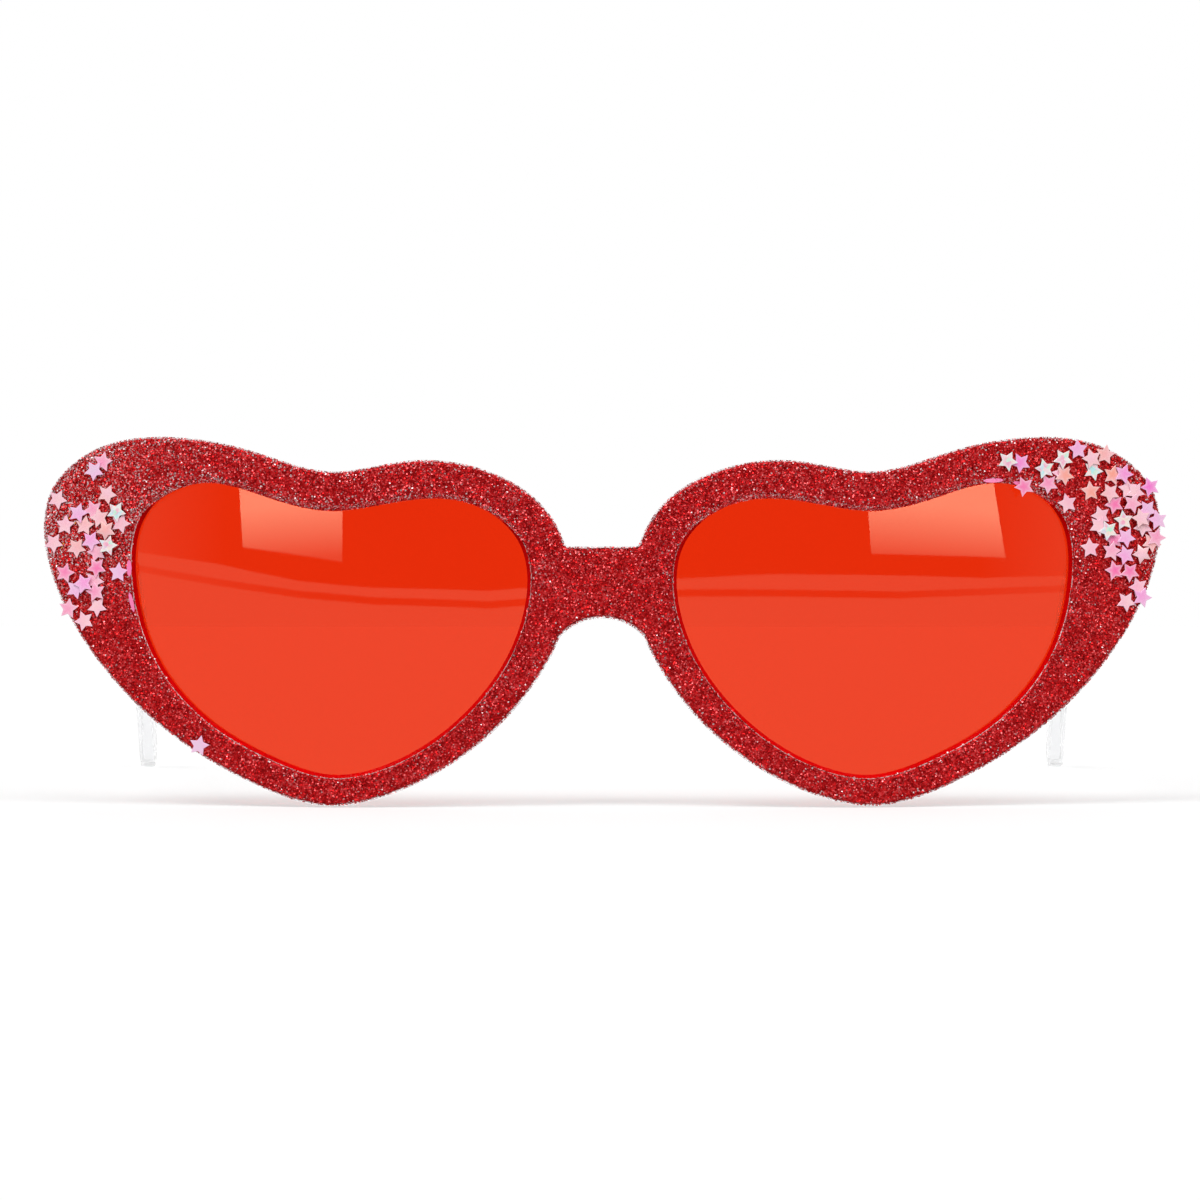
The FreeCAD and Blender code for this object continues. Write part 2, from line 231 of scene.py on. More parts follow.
def joined_copy(node, name):
    """The node's mesh in a new piece, with its loose triangles joined into one skin."""
    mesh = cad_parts[node].data.copy()
    mesh.name = name
    mesh.materials.clear()
    mesh.attributes.remove(mesh.attributes["custom_normal"])
    form = bmesh.new()
    form.from_mesh(mesh)
    bmesh.ops.remove_doubles(form, verts=form.verts, dist=WELD_GAP)
    form.normal_update()
    piece = bpy.data.objects.new(name, mesh)
    bpy.context.scene.collection.objects.link(piece)
    return piece, form


def clear_moulding(node, name, body):
    """The node in clear plastic, each wall shaded evenly, so that only its rounded edges bend the light."""
    piece, form = joined_copy(node, name)
    form.to_mesh(piece.data)
    form.free()
    piece.data.shade_smooth()
    piece.data.set_sharp_from_angle(angle=math.radians(SHARP_DEGREES))
    even = piece.modifiers.new("even_gloss", "WEIGHTED_NORMAL")
    even.keep_sharp = True
    piece.data.materials.append(plastic)
    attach(piece, body)
    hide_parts(node)
    return piece


plastic = clear_plastic()
moulding = clear_moulding("front_frame", "front_moulding", "front")
# The window wall takes the lacquer stain in two reds: painted shade at the sides and foot, painted light
# under the brow.
moulding.data.materials.append(stained_wall_painted_light(
    "stained_edge_painted_shade", STAIN_DARK_PAINTED_SHADE, STAIN_RED_PAINTED_SHADE, STAINED_SHEEN, {"Specular IOR Level": 0.04}))
moulding.data.materials.append(stained_wall_painted_light(
    "brow_edge_painted_light", BROW_DARK_PAINTED_LIGHT, BROW_RED_PAINTED_LIGHT, BROW_SHEEN, {"Transmission Weight": 1.0}))
lens_corners = [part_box("lens_left"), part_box("lens_right")]
for face in moulding.data.polygons:
    face.material_index = wall_slot(face)


# Each lens is a heart cut from orange red tinted sheet and pressed from behind into the groove of its rim.
# The sheet is glossy on both sides, and bends a little with the wrap of the front.
LENS_TINT = (0.83, 0.027, 0.003, 1.0)
LENS_GLOSS = (1.0, 0.90, 0.56, 1.0)
SHEET_WAVE = 30 * MM
SHEET_DEPTH = 0.01 * MM
SHEET_SHEEN = (0.005, 0.01)
SHEET_BUMP = 0.3
SHEET_IOR = 1.5


def tinted_sheet():
    material, shader, place = new_finish("tinted_sheet", {
        "Base Color": LENS_TINT, "IOR": SHEET_IOR, "Transmission Weight": 1.0, "Specular Tint": LENS_GLOSS})
    wave = place.noise(SHEET_WAVE, detail=1.0)
    wave.roughen(shader, *SHEET_SHEEN)
    wave.emboss(shader, SHEET_DEPTH, SHEET_BUMP)
    return material


sheet = tinted_sheet()
for side in ("left", "right"):
    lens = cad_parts["lens_" + side]
    lens.data.materials.clear()
    lens.data.materials.append(sheet)


# The glitter face starts as a bed of red lacquer rolled over the front of the rims and the bridge.
# It thins to a cloudy grey feather edge all round, is thinnest high on the wearer's right, and has sagged
# over the bevels under the brows. Fine foil dust has sunk into it in small clumps.
BED_SINK = 0.16 * MM
BED_BOND = 0.02 * MM
FEATHER = 0.12 * MM
BROW_LOW = 34 * MM
BROW_SAG = 0.45 * MM
BROW_SINK = 0.4 * MM
SAG_BEGINS = 0.5
SAG_RUN = 0.4
DUST = 0.22 * MM
DUST_HEIGHT = 0.05 * MM
DUST_BUMP = 0.6
DUST_SHEEN = (0.3, 0.4)
CLUMP = 0.9 * MM
CLUMP_SHARE = 2.5
PATCH = 3 * MM
PATCH_SHARE = 0.5
DUST_SHARE = 0.9
EDGE_SHARE = 0.8
CLOUDY_FROM = 0.4
CLOUDY_TO = 0.7
CLOUDY_MOST = 0.9
THIN_LOW = 24 * MM
THIN_HIGH = 34 * MM
THIN_INNER = -50 * MM
THIN_OUTER = -70 * MM
THIN_MOST = 0.38
FACES_ON = 0.5
WALL_THIN = 0.4
SAG_COVER = 0.8
BACK_THICK = -1.0
BED_DARK = (0.26, 0.003, 0.004, 1.0)
BED_RED = (0.44, 0.007, 0.009, 1.0)
BED_BRIGHT = (0.60, 0.035, 0.04, 1.0)
BED_GREY = (0.70, 0.57, 0.59, 1.0)


def glitter_bed():
    material, shader, place = new_finish("glitter_bed", {"Metallic": 0.85, "Specular IOR Level": 0.2})
    dust = place.node("ShaderNodeTexVoronoi", inputs={"Vector": place, "Scale": 1 / DUST}, output="Color")
    grain = place.node("ShaderNodeSeparateColor", inputs={0: dust})
    clump = place.noise(CLUMP, detail=2.0)
    gathered = grain + (clump - 0.5) * CLUMP_SHARE
    red = gathered.ramp([(0.0, BED_DARK), (0.5, BED_RED), (1.0, BED_BRIGHT)])
    across = place.node("ShaderNodeSeparateXYZ", inputs={0: place})
    outward = place.node("ShaderNodeMapRange", inputs={
        "Value": across, "From Min": THIN_INNER, "From Max": THIN_OUTER, "To Min": 0.0, "To Max": THIN_MOST})
    upward = place.node("ShaderNodeMapRange", inputs={
        "Value": across.output("Z"), "From Min": THIN_LOW, "From Max": THIN_HIGH})
    patch = place.noise(PATCH, detail=2.0)
    edge = place.node("ShaderNodeAttribute", {"attribute_name": "thin"}, output="Fac")
    bare = edge * EDGE_SHARE + outward * upward + (patch - 0.5) * PATCH_SHARE
    bare = bare + (grain.output("Green") - 0.5) * DUST_SHARE
    cloudy = place.node("ShaderNodeMapRange", inputs={
        "Value": bare, "From Min": CLOUDY_FROM, "From Max": CLOUDY_TO, "To Min": 0.0, "To Max": CLOUDY_MOST})
    cloudy.blend(red, BED_GREY).into(shader, "Base Color")
    grain.output("Blue").roughen(shader, *DUST_SHEEN)
    grain.output("Green").emboss(shader, DUST_HEIGHT, DUST_BUMP)
    return material


def way_out(place):
    """The way out of the wrapped and leaning face of the glasses at a place."""
    across = place.x / WRAP_RADIUS
    ahead = math.sqrt(1 - across * across)
    return Vector((across, -ahead * math.cos(FACE_LEAN), ahead * math.sin(FACE_LEAN)))


def sideways(vert, walls):
    """The way out of the bed's edge at a vertex, along the face of the glasses."""
    out = sum((face.normal for face in vert.link_faces if face in walls), Vector())
    ahead = way_out(vert.co)
    return (out - ahead * out.dot(ahead)).normalized()


def sag(vert, side):
    """How far the bed has sagged at its edge: one where the edge looks down from a brow, else nought."""
    return min(max((-side.z - SAG_BEGINS) / SAG_RUN, 0.0), 1.0) if vert.co.z > BROW_LOW else 0.0


bed, form = joined_copy("glitter_coat", "glitter_bed")
thin = form.loops.layers.float.new("thin")
front = {face for face in form.faces if face.normal.y < -FACES_ON}
back = {face for face in form.faces if face.normal.y > FACES_ON}
walls = set(form.faces) - front - back
foot_sides = {vert: sideways(vert, walls) for face in back for vert in face.verts
              if walls & set(vert.link_faces)}
edge_places = [vert.co.copy() for vert in foot_sides]
foot_edges = [edge for edge in form.edges if {face in back for face in edge.link_faces} == {True, False}]
edge_runs = [(edge.verts[0].co.copy(), edge.verts[1].co.copy(), foot_sides[edge.verts[0]])
             for edge in foot_edges]
for face in front:
    for vert in face.verts:
        vert.tag = True
for vert in form.verts:
    if vert.tag:
        vert.co -= way_out(vert.co) * BED_SINK
sags = {vert: sag(vert, side) for vert, side in foot_sides.items()}
for vert, side in foot_sides.items():
    sunk = way_out(vert.co) * (BED_BOND + BROW_SINK * sags[vert])
    vert.co += side * (FEATHER + BROW_SAG * sags[vert]) - sunk
for face in walls:
    for corner in face.loops:
        corner[thin] = 1.0 - SAG_COVER * sags[corner.vert] if corner.vert in sags else WALL_THIN
for face in back:
    for corner in face.loops:
        corner[thin] = BACK_THICK
form.to_mesh(bed.data)
form.free()
bed.data.shade_smooth()
bed.data.set_sharp_from_angle(angle=math.radians(SHARP_DEGREES))
bed.data.materials.append(glitter_bed())
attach(bed, "front")
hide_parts("glitter_coat")


# The glitter itself is hexagons punched from metallised film, a quarter of a millimetre across.
# They are shaken over the wet bed and lie at every small angle: most are red, some dark or pink, and silvery
# ones gather at the thin edges. Pink ones are dealt out more often higher up, as painted light on the brows.
# A few gold ones have strayed in beside the stars on the wearer's right.
FLAKE_RADIUS = 0.115 * MM
FLAKE_THICK = 0.016 * MM
FLAKE_SINK = 0.1 * MM
FLAKE_LEAN = 0.33
FLAKE_SIZES = (0.75, 1.2)
EDGE_REACH = 0.6 * MM
STRAY_REACH = 0.16 * MM
FILM_ROUGH = 0.36
FILM_BATCH = 0.6 * MM
FILM_STOPS = (0.35, 0.65)
FILM_WORN = 0.88
GOLD_SPOT = Vector((-70.8, 0.0, 36.8)) * MM
GOLD_REACH = 3.5 * MM
GOLD_TRIES = 60000
GOLD_ELSEWHERE = 1e-9
TRIES_PER_FLAKE = 5
SILVER_ANYWHERE = 0.004
SILVER_EDGE = 0.15
SILVER_OUTER = {"right": 1.6, "left": 0.8}
PINK_BELOW_PAINTED_LIGHT = 0.4
RED_EDGE_LOSS = 0.5
FRONT_FACING = -0.2
SAG_FACING = -0.3
ROUNDED_FACING = (-0.97, -0.25)
STRAY_ONE_IN = {"silver": 12}
STRAY_ONE_IN_OTHERS = 24
FLAKE_FILMS = {
    "deep": (9800, (0.25, 0.003, 0.004, 1.0)),
    "ruby": (7800, (0.36, 0.005, 0.007, 1.0)),
    "crimson": (9800, (0.47, 0.008, 0.010, 1.0)),
    "scarlet": (9800, (0.62, 0.014, 0.016, 1.0)),
    "rose": (9000, (0.73, 0.08, 0.085, 1.0)),
    "pink": (3000, (0.92, 0.18, 0.19, 1.0)),
    "silver": (2800, (0.54, 0.40, 0.41, 1.0)),
    "gold": (14, (0.85, 0.52, 0.06, 1.0)),
}
BROW_ONE_IN = {"deep": 20, "crimson": 12, "scarlet": 12, "rose": 14, "pink": 6, "silver": 6}
SLIVER = 1e-12
DICE_SEED = 41
dice = np.random.RandomState(DICE_SEED)


def facets(mesh):
    """Corners, areas and outward directions of the mesh's triangles."""
    corners = np.array([[mesh.vertices[k].co for k in face.vertices] for face in mesh.polygons])
    across = np.cross(corners[:, 1] - corners[:, 0], corners[:, 2] - corners[:, 0])
    size = np.linalg.norm(across, axis=1)
    return corners, size / 2, across / np.maximum(size, SLIVER)[:, None]


def unit(vectors):
    return vectors / np.linalg.norm(vectors, axis=1)[:, None]


def scatter(count, surface, chance):
    """Random places on a surface, as often as chance says for each triangle, and the directions there."""
    corners, area, outward = surface
    share = area * chance
    pick = dice.choice(len(area), count, p=share / share.sum())
    u, v = dice.random_sample((2, count, 1))
    fold = u + v > 1
    u = np.where(fold, 1 - u, u)
    v = np.where(fold, 1 - v, v)
    first, second, third = (corners[pick, k] for k in range(3))
    return first + u * (second - first) + v * (third - first), outward[pick]


def forwards(places):
    """The ways out of the face at some places."""
    return np.array([way_out(Vector(place)) for place in places]).reshape(-1, 3)


def spilled(count):
    """Random places on the plastic just off the bed's edge, not under the brows, and the ways out there."""
    first, second, side = (np.array([run[k] for run in edge_runs]) for k in range(3))
    length = np.linalg.norm(second - first, axis=1)
    brow = (side[:, 2] < BROW_FACING) & (first[:, 2] > BROW_LOW)
    share = np.where(brow, 0.0, length)
    pick = dice.choice(len(length), count, p=share / share.sum())
    along, off = dice.random_sample((2, count, 1))
    places = first[pick] + along * (second - first)[pick] + off * STRAY_REACH * side[pick]
    return places, forwards(places)


def liking(name, places):
    """How gladly a film lies at a place: silver on thin edges, pink as painted light up high, red elsewhere.
    """
    if name == "gold":
        away = np.hypot(places[:, 0] - GOLD_SPOT.x, places[:, 2] - GOLD_SPOT.z)
        return (away < GOLD_REACH) + GOLD_ELSEWHERE
    gap = np.array([edge_tree.find(place)[2] for place in places])
    near = np.exp(-gap / EDGE_REACH)
    outer = (places[:, 0] / cad_box[1].x) ** 2
    high = np.clip((places[:, 2] - THIN_LOW) / (THIN_HIGH - THIN_LOW), 0.0, 1.0)
    if name == "silver":
        thinner = np.where(places[:, 0] < 0, SILVER_OUTER["right"], SILVER_OUTER["left"])
        return SILVER_ANYWHERE + near * (SILVER_EDGE + thinner * outer * high)
    # More pink flakes higher up paint the light that falls on the brows from above.
    if name == "pink":
        return PINK_BELOW_PAINTED_LIGHT + (1 - PINK_BELOW_PAINTED_LIGHT) * high
    return 1.0 - RED_EDGE_LOSS * near


def heap(name, places, outward):
    """One piece of closed hexagon flakes, one at each place, leaning at random about the way out."""
    count = len(places)
    form = bmesh.new()
    bmesh.ops.create_cone(form, cap_ends=True, segments=6, radius1=FLAKE_RADIUS, radius2=FLAKE_RADIUS,
                          depth=FLAKE_THICK)
    mesh = bpy.data.meshes.new(name)
    form.to_mesh(mesh)
    form.free()
    piece = bpy.data.objects.new(name, mesh)
    bpy.context.scene.collection.objects.link(piece)
    copies = piece.modifiers.new("copies", "ARRAY")
    copies.use_relative_offset = False
    copies.count = count
    ready = piece.evaluated_get(bpy.context.evaluated_depsgraph_get())
    piece.data = bpy.data.meshes.new_from_object(ready)
    piece.data.name = name
    piece.modifiers.clear()
    way = unit(outward + FLAKE_LEAN * dice.standard_normal((count, 3)))
    along = unit(np.cross(way, dice.standard_normal((count, 3))))
    turn = np.stack([along, np.cross(way, along), way], axis=2)
    size = dice.uniform(*FLAKE_SIZES, (count, 1, 1))
    corners = np.empty(len(piece.data.vertices) * 3, np.float32)
    piece.data.vertices.foreach_get("co", corners)
    corners = corners.reshape(count, -1, 3) * size
    corners = np.einsum("nij,nkj->nki", turn, corners) + (places - outward * FLAKE_SINK)[:, None, :]
    corners = np.clip(corners, cad_box[0], cad_box[1])
    piece.data.vertices.foreach_set("co", corners.astype(np.float32).ravel())
    piece.data.update()
    return piece


def film(name, colour):
    material, shader, place = new_finish("film_" + name, {
        "Metallic": 0.95, "Roughness": FILM_ROUGH, "Specular IOR Level": 0.2})
    batch = place.noise(FILM_BATCH, detail=2.0)
    worn = tuple(FILM_WORN * value for value in colour[:3]) + (1.0,)
    shade = batch.ramp(list(zip(FILM_STOPS, (worn, colour))))
    shade.into(shader, "Base Color")
    return material


edge_tree = KDTree(len(edge_places))
for number, place in enumerate(edge_places):
    edge_tree.insert(place, number)
edge_tree.balance()
skin = facets(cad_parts["glitter_coat"].data)
faces_front = (skin[2][:, 1] < FRONT_FACING).astype(float)
rim = facets(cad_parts["front_frame"].data)
lens_middle = (lens_corners[0][0] + lens_corners[0][1]) / 2
rim_middle = rim[0].mean(axis=1)
rim_middle[:, 0] -= np.sign(rim_middle[:, 0]) * lens_middle.x
rim_middle[:, 2] -= lens_middle.z
looks_out = rim[2][:, 0] * rim_middle[:, 0] + rim[2][:, 2] * rim_middle[:, 2] > 0
rounded_edge = (rim[2][:, 1] > ROUNDED_FACING[0]) & (rim[2][:, 1] < ROUNDED_FACING[1])
front_edge = (looks_out & rounded_edge).astype(float)
bed_skin = facets(bed.data)
sagged = ((bed_skin[0][:, :, 2].min(axis=1) > BROW_LOW) & (bed_skin[2][:, 2] < SAG_FACING)
          & (bed_skin[2][:, 1] < FRONT_FACING)).astype(float)
for name, (count, colour) in FLAKE_FILMS.items():
    stray = count // STRAY_ONE_IN.get(name, STRAY_ONE_IN_OTHERS)
    brow = count // BROW_ONE_IN[name] if name in BROW_ONE_IN else 0
    tries = GOLD_TRIES if name == "gold" else count * TRIES_PER_FLAKE
    places, outward = scatter(tries, skin, faces_front)
    like = liking(name, places)
    pick = dice.choice(len(places), count - 2 * stray - brow, replace=False, p=like / like.sum())
    rounded, rounded_out = scatter(stray, rim, front_edge)
    loose, loose_out = spilled(stray)
    hung = scatter(brow, bed_skin, sagged)[0]
    hung_out = forwards(hung)
    on_top = np.vstack([loose + loose_out * FLAKE_SINK, hung + hung_out * FLAKE_SINK])
    flakes = heap("glitter_" + name, np.vstack([places[pick], rounded, on_top]),
                  np.vstack([outward[pick], rounded_out, loose_out, hung_out]))
    flakes.data.materials.append(film(name, colour))
    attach(flakes, "front")


# Star sequins are punched from thin pearl film and glued over the glitter at the outer corners by hand.
# They overlap at slight angles, each with its own tint, which drifts across it.
# A painted highlight, where the cut film catches light, pales them at the points.
# One has fallen low on the wearer's right, and torn slips of pink film have stuck beside the windows.
STAR_EDGE = 0.03 * MM
STAR_LEAN_DEGREES = 2.5
STAR_REACH = 1.45 * MM
STAR_CORNERS = 10
STAR_FLAT_DEGREES = 1
STAR_RIPPLE = 0.5 * MM
STAR_RIPPLE_DEPTH = 0.02 * MM
STAR_BUMP = 0.2
STAR_DRIFT = 0.3
LOW_STAR = 15 * MM
# Colours of the painted highlight that pales the star points.
STAR_PAINTED_GLINT = {
    "pink": (0.97, 0.60, 0.74, 1.0), "lilac": (0.95, 0.56, 0.82, 1.0), "peach": (0.97, 0.62, 0.64, 1.0),
    "hologram": (0.92, 0.95, 0.94, 1.0),
}
STAR_SHADES = {
    "pink": [(0.0, (0.97, 0.15, 0.44, 1.0)), (0.4, (0.98, 0.36, 0.57, 1.0)),
             (1.0, (0.98, 0.60, 0.66, 1.0))],
    "lilac": [(0.0, (0.95, 0.16, 0.64, 1.0)), (0.4, (0.96, 0.36, 0.72, 1.0)),
              (1.0, (0.85, 0.60, 0.80, 1.0))],
    "peach": [(0.0, (0.98, 0.30, 0.18, 1.0)), (0.4, (0.98, 0.44, 0.44, 1.0)),
              (1.0, (0.98, 0.58, 0.70, 1.0))],
    "hologram": [(0.0, (0.95, 0.30, 0.52, 1.0)), (0.35, (0.94, 0.80, 0.82, 1.0)),
                 (0.5, (0.42, 0.90, 0.66, 1.0)), (0.6, (0.48, 0.84, 0.94, 1.0)),
                 (0.72, (0.96, 0.36, 0.58, 1.0)), (0.9, (0.95, 0.74, 0.66, 1.0))],
}
# The most of that painted highlight that a point takes.
STAR_GLINT_SHARE = 0.7
SLIP_THICK = 0.06 * MM
SLIP_CORE = 0.6
# A slip's places across and up, length and width in mm, turn in degrees, and mm behind the face.
SLIPS = [(-63.8, 32.0, 2.3, 0.70, 92, -0.52), (-63.45, 27.4, 2.8, 0.55, 105, -0.52),
         (52.7, 43.8, 2.9, 0.6, 3, -0.15), (56.4, 43.35, 2.1, 0.6, -12, -0.15)]
SHARD = 0.5 * MM


def islands(form):
    """The separate solids of a mesh, as lists of their vertices."""
    unseen = set(form.verts)
    found = []
    while unseen:
        group = {unseen.pop()}
        waiting = list(group)
        while waiting:
            vert = waiting.pop()
            near = {link.other_vert(vert) for link in vert.link_edges} - group
            group |= near
            waiting.extend(near)
        unseen -= group
        found.append(sorted(group, key=lambda vert: vert.index))
    return sorted(found, key=lambda group: group[0].index)


def pearl_film(colour):
    material, shader, place = new_finish("pearl_" + colour, {
        "Roughness": 0.3, "Metallic": 0.1, "Coat Weight": 0.35,
        "Thin Film Thickness": 420.0, "Thin Film IOR": 1.4})
    tint = place.node("ShaderNodeAttribute", {"attribute_name": "tint"}, output="Fac")
    if colour == "hologram":
        shards = place.node("ShaderNodeTexVoronoi", inputs={
            "Vector": place, "Scale": 1 / SHARD}, output="Color")
        tint = place.node("ShaderNodeSeparateColor", inputs={0: shards})
    shade = tint.ramp(STAR_SHADES[colour])
    core = place.node("ShaderNodeAttribute", {"attribute_name": "core"}, output="Fac")
    tip = 1 - core
    # A painted highlight, where the cut film catches light, pales each star towards its points.
    painted_glint = tip * tip * STAR_GLINT_SHARE
    painted_glint.blend(shade, STAR_PAINTED_GLINT[colour]).into(shader, "Base Color")
    ripple = place.noise(STAR_RIPPLE, detail=1.0)
    ripple.emboss(shader, STAR_RIPPLE_DEPTH, STAR_BUMP)
    return material


films = {colour: pearl_film(colour) for colour in STAR_SHADES}
for colour in STAR_SHADES:
    for side in ("left", "right"):
        node = "star_sequins_" + colour + "_" + side
        stars, form = joined_copy(node, "sequins_" + colour + "_" + side)
        bmesh.ops.dissolve_limit(form, angle_limit=math.radians(STAR_FLAT_DEGREES), verts=form.verts,
                                 edges=form.edges)
        form.verts.index_update()
        tint = form.verts.layers.float.new("tint")
        core = form.verts.layers.float.new("core")
        for star in islands(form):
            centre = sum((vert.co for vert in star), Vector()) / len(star)
            axis = Vector((*dice.standard_normal(2), 0.0)).normalized().xzy
            lean = Matrix.Rotation(math.radians(STAR_LEAN_DEGREES) * dice.uniform(-1, 1), 3, axis)
            bmesh.ops.rotate(form, cent=centre, matrix=lean, verts=star)
            own = 1.0 if centre.z < LOW_STAR else dice.random_sample()
            drift = Vector((*unit(dice.standard_normal((1, 2)))[0], 0.0)).xzy
            for vert in star:
                vert[tint] = own + STAR_DRIFT * drift.dot(vert.co - centre) / STAR_REACH
        bmesh.ops.bevel(form, geom=form.edges, offset=STAR_EDGE, offset_type="OFFSET", segments=1,
                        profile=0.5, affect="EDGES", material=-1)
        fronts = [face for face in form.faces
                  if face.normal.y < -FACES_ON and len(face.verts) >= STAR_CORNERS]
        for vert in bmesh.ops.poke(form, faces=fronts, center_mode="MEAN")["verts"]:
            ring = [edge.other_vert(vert)[tint] for edge in vert.link_edges]
            vert[tint] = sum(ring) / len(ring)
            vert[core] = 1.0
        form.to_mesh(stars.data)
        form.free()
        stars.data.materials.append(films[colour])
        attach(stars, "front")
        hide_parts(node)


slips = bpy.data.objects.new("sequin_slips", bpy.data.meshes.new("sequin_slips"))
bpy.context.scene.collection.objects.link(slips)
form = bmesh.new()
core = form.verts.layers.float.new("core")
for x, z, length, width, degrees, depth in SLIPS:
    spot = Vector((x * MM, 0.0, z * MM))
    spot.y = depth * MM - depth_behind_face(spot)
    ahead = way_out(spot)
    along = Vector((math.cos(math.radians(degrees)), 0.0, math.sin(math.radians(degrees))))
    along = (along - ahead * along.dot(ahead)).normalized()
    axes = Matrix((along * length * MM, ahead.cross(along) * width * MM, ahead * SLIP_THICK)).transposed()
    bmesh.ops.create_cone(form, cap_ends=True, segments=8, radius1=0.5, radius2=0.5, depth=1.0,
                          matrix=Matrix.Translation(spot) @ axes.to_4x4())
for vert in form.verts:
    vert[core] = SLIP_CORE
form.to_mesh(slips.data)
form.free()
slips.data.materials.append(films["pink"])
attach(slips, "front")


# The temples are two flat clear mouldings with bent, flared ear ends and one hinge knuckle each.
# They come from the same clear polystyrene as the front.
for side in ("left", "right"):
    clear_moulding("temple_" + side, "side_arm_" + side, side + "_arm")


# A headed pin of bright drawn wire is pressed through the lugs of each hinge from above.
# Drawing has left fine lines along the wire.
PIN_STEEL = (0.62, 0.62, 0.64, 1.0)
DRAWN_PITCH = 0.15 * MM
DRAWN_STRETCH = 0.03
DRAWN_DEPTH = 0.01 * MM
DRAWN_BUMP = 0.3
DRAWN_SHEEN = (0.15, 0.3)


def drawn_wire():
    material, shader, place = new_finish("drawn_wire", {"Base Color": PIN_STEEL, "Metallic": 1.0})
    drawn = place.node("ShaderNodeMapping", inputs={"Vector": place, "Scale": (1.0, 1.0, DRAWN_STRETCH)})
    lines = drawn.noise(DRAWN_PITCH, detail=2.0)
    lines.roughen(shader, *DRAWN_SHEEN)
    lines.emboss(shader, DRAWN_DEPTH, DRAWN_BUMP)
    return material


wire = drawn_wire()
for side in ("left", "right"):
    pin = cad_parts["hinge_pin_" + side]
    pin.data.materials.clear()
    pin.data.materials.append(wire)


# The table is a wide sheet of matt white board, just below the rims and the ear ends that rest on it.
# It is white to the eye and keeps the soft shadow of the glasses.
BOARD_SIZE = 8.0
BOARD_DROP = 0.05 * MM
BOARD_WHITE = (0.45, 0.45, 0.45, 1.0)
BOARD_GLOW = 0.5
form = bmesh.new()
bmesh.ops.create_grid(form, x_segments=1, y_segments=1, size=BOARD_SIZE / 2,
                      matrix=Matrix.Translation((0, 0, -BOARD_DROP)))
mesh = bpy.data.meshes.new("table_board")
form.to_mesh(mesh)
form.free()
board = bpy.data.objects.new("table_board", mesh)
bpy.context.scene.collection.objects.link(board)


def straight_look(tree):
    """One where the eye, a mirror or clear plastic looks, nought where light only bounces."""
    path = Wire(tree).node("ShaderNodeLightPath", output="Is Camera Ray")
    seen = path + path.output("Is Glossy Ray") + path.output("Is Transmission Ray")
    return path.maths("MINIMUM", seen, 1.0)


paper, shader = new_finish("white_board", {
    "Base Color": BOARD_WHITE, "Roughness": 0.9, "Specular IOR Level": 0.1,
    "Emission Strength": BOARD_GLOW})[:2]
straight_look(paper.node_tree).into(shader, "Emission Color")
mesh.materials.append(paper)


# The studio: white all round, one soft key from the upper left and a softer fill from the right.
# Two dark cards, a narrow one under a tall one, and two lit strips are seen only in reflections: they draw
# the low horizon and the bright windows on the lenses.
WORLD_LIGHT = 0.46
# A lamp's strength, then its breadth, azimuth and elevation in degrees.
LAMPS = {"key": (1.5, 30, -35, 52), "fill": (1.2, 40, 32, 48)}
CARD_DISTANCE = 1.5
LINE_CARD = [(-0.95, 0.170), (-0.71, 0.156), (-0.55, 0.148), (-0.40, 0.1433), (-0.20, 0.140), (0.15, 0.1452),
             (0.54, 0.1477), (0.71, 0.1516), (0.95, 0.158)]
LINE_CARD_HIGH = 0.0033
TALL_CARD = [(-0.95, 0.180), (-0.85, 0.174), (-0.71, 0.1665), (-0.63, 0.161), (-0.55, 0.156),
             (-0.47, 0.153), (-0.40, 0.151), (-0.20, 0.148), (0.15, 0.1535), (0.30, 0.1565),
             (0.71, 0.160), (0.95, 0.166)]
TALL_CARD_TOP = 0.9
STRIPS = {
    "strip_left": [(-0.658, 0.173), (-0.461, 0.163), (-0.461, 0.215), (-0.672, 0.215)],
    "strip_right": [(0.481, 0.167), (0.754, 0.170), (0.724, 0.215), (0.467, 0.215)],
}
STRIP_LIGHT = 6.0
STRIP_NEARER = 0.01
# A fade's axis, two places along it in metres, and the glow at each.
LINE_FADE = ("X", 0.50, 0.95, 0.12, 0.6)
TALL_FADE = ("X", 0.70, 0.90, 0.02, 0.5)
STRIP_FADE = ("Z", 0.166, 0.192, 0.18, 1.0)
world = bpy.data.worlds.new("white_studio")
bpy.context.scene.world = world
world.use_nodes = True
light = straight_look(world.node_tree) * (1 - WORLD_LIGHT) + WORLD_LIGHT
background = world.node_tree.nodes["Background"]
background.inputs["Color"].default_value = (1, 1, 1, 1)
light.into(background, "Strength")
for name, (strength, angle, azimuth, elevation) in LAMPS.items():
    lamp = bpy.data.lights.new(name, "SUN")
    lamp.energy = strength
    lamp.angle = math.radians(angle)
    holder = bpy.data.objects.new(name, lamp)
    turn, rise = math.radians(azimuth), math.radians(elevation)
    towards = Vector((math.sin(turn) * math.cos(rise), -math.cos(turn) * math.cos(rise), math.sin(rise)))
    holder.rotation_euler = towards.to_track_quat("Z", "Y").to_euler()
    bpy.context.scene.collection.objects.link(holder)


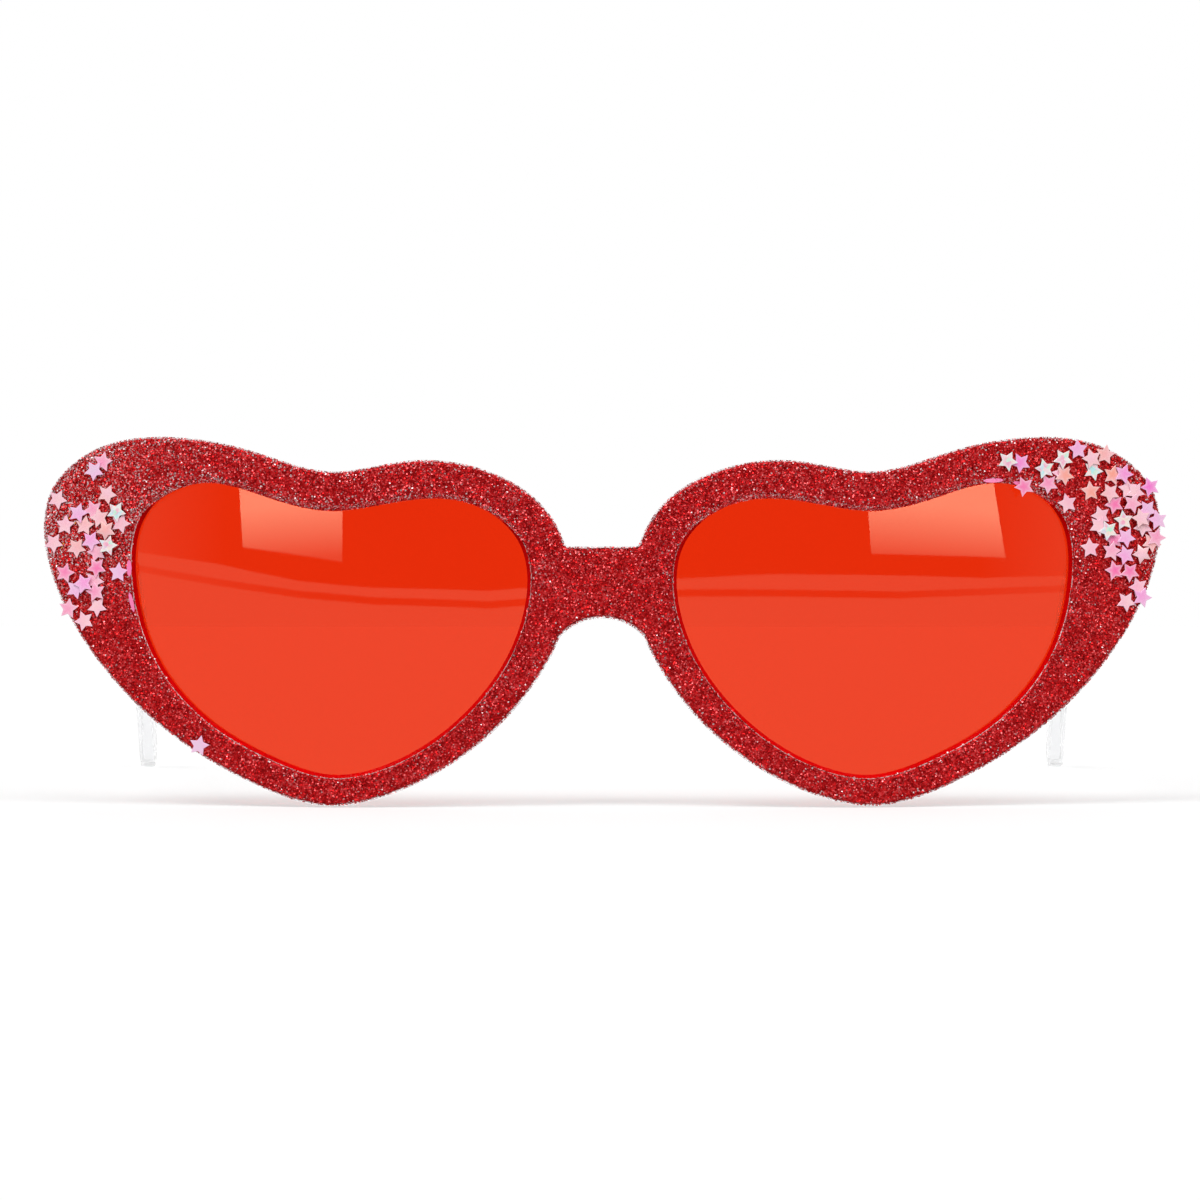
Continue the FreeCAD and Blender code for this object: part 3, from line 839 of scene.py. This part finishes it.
def hung_card(name, corners, nearer, light, fade):
    """A card that only reflections see, hung before the glasses, with a glow that changes along one axis."""
    form = bmesh.new()
    form.faces.new([form.verts.new((x, nearer - CARD_DISTANCE, z)) for x, z in corners])
    mesh = bpy.data.meshes.new(name)
    form.to_mesh(mesh)
    form.free()
    card = bpy.data.objects.new(name, mesh)
    bpy.context.scene.collection.objects.link(card)
    material, shader, place = new_finish(name, {
        "Base Color": (0, 0, 0, 1), "Specular IOR Level": 0.0, "Emission Strength": light})
    axis, begin, finish, low, high = fade
    along = place.node("ShaderNodeSeparateXYZ", inputs={0: place}, output=axis)
    reach = place.node("ShaderNodeMath", {"operation": "ABSOLUTE"}, {0: along})
    glow = place.node("ShaderNodeMapRange", inputs={
        "Value": reach, "From Min": begin, "From Max": finish, "To Min": low, "To Max": high})
    glow.into(shader, "Emission Color")
    mesh.materials.append(material)
    card.visible_camera = False
    card.visible_diffuse = False
    card.visible_transmission = False
    card.visible_shadow = False


line_top = [(x, z + LINE_CARD_HIGH) for x, z in reversed(LINE_CARD)]
hung_card("line_card", LINE_CARD + line_top, 0.0, 1.0, LINE_FADE)
tall_top = [(TALL_CARD[-1][0], TALL_CARD_TOP), (TALL_CARD[0][0], TALL_CARD_TOP)]
hung_card("tall_card", TALL_CARD + tall_top, 0.0, 1.0, TALL_FADE)
for name, corners in STRIPS.items():
    hung_card(name, corners, STRIP_NEARER, STRIP_LIGHT, STRIP_FADE)


# The camera stands level with the middle of the hearts, a long arm's length in front of the bridge.
# Its long lens looks straight at the glasses and draws them almost without perspective.
CAMERA_REACH = 0.600
CAMERA_HEIGHT = 27.7 * MM
CAMERA_ASIDE = -0.27 * MM
SENSOR_WIDTH = 36.0
FOCAL_LENGTH = 135.0
optics = bpy.data.cameras.new("photo_camera")
optics.sensor_width = SENSOR_WIDTH
optics.lens = FOCAL_LENGTH
camera = bpy.data.objects.new("photo_camera", optics)
camera.location = (CAMERA_ASIDE, cad_box[0].y - CAMERA_REACH, CAMERA_HEIGHT)
camera.rotation_euler = (math.radians(90), 0, 0)
bpy.context.scene.collection.objects.link(camera)
bpy.context.scene.camera = camera
bpy.context.scene.view_settings.view_transform = "Standard"
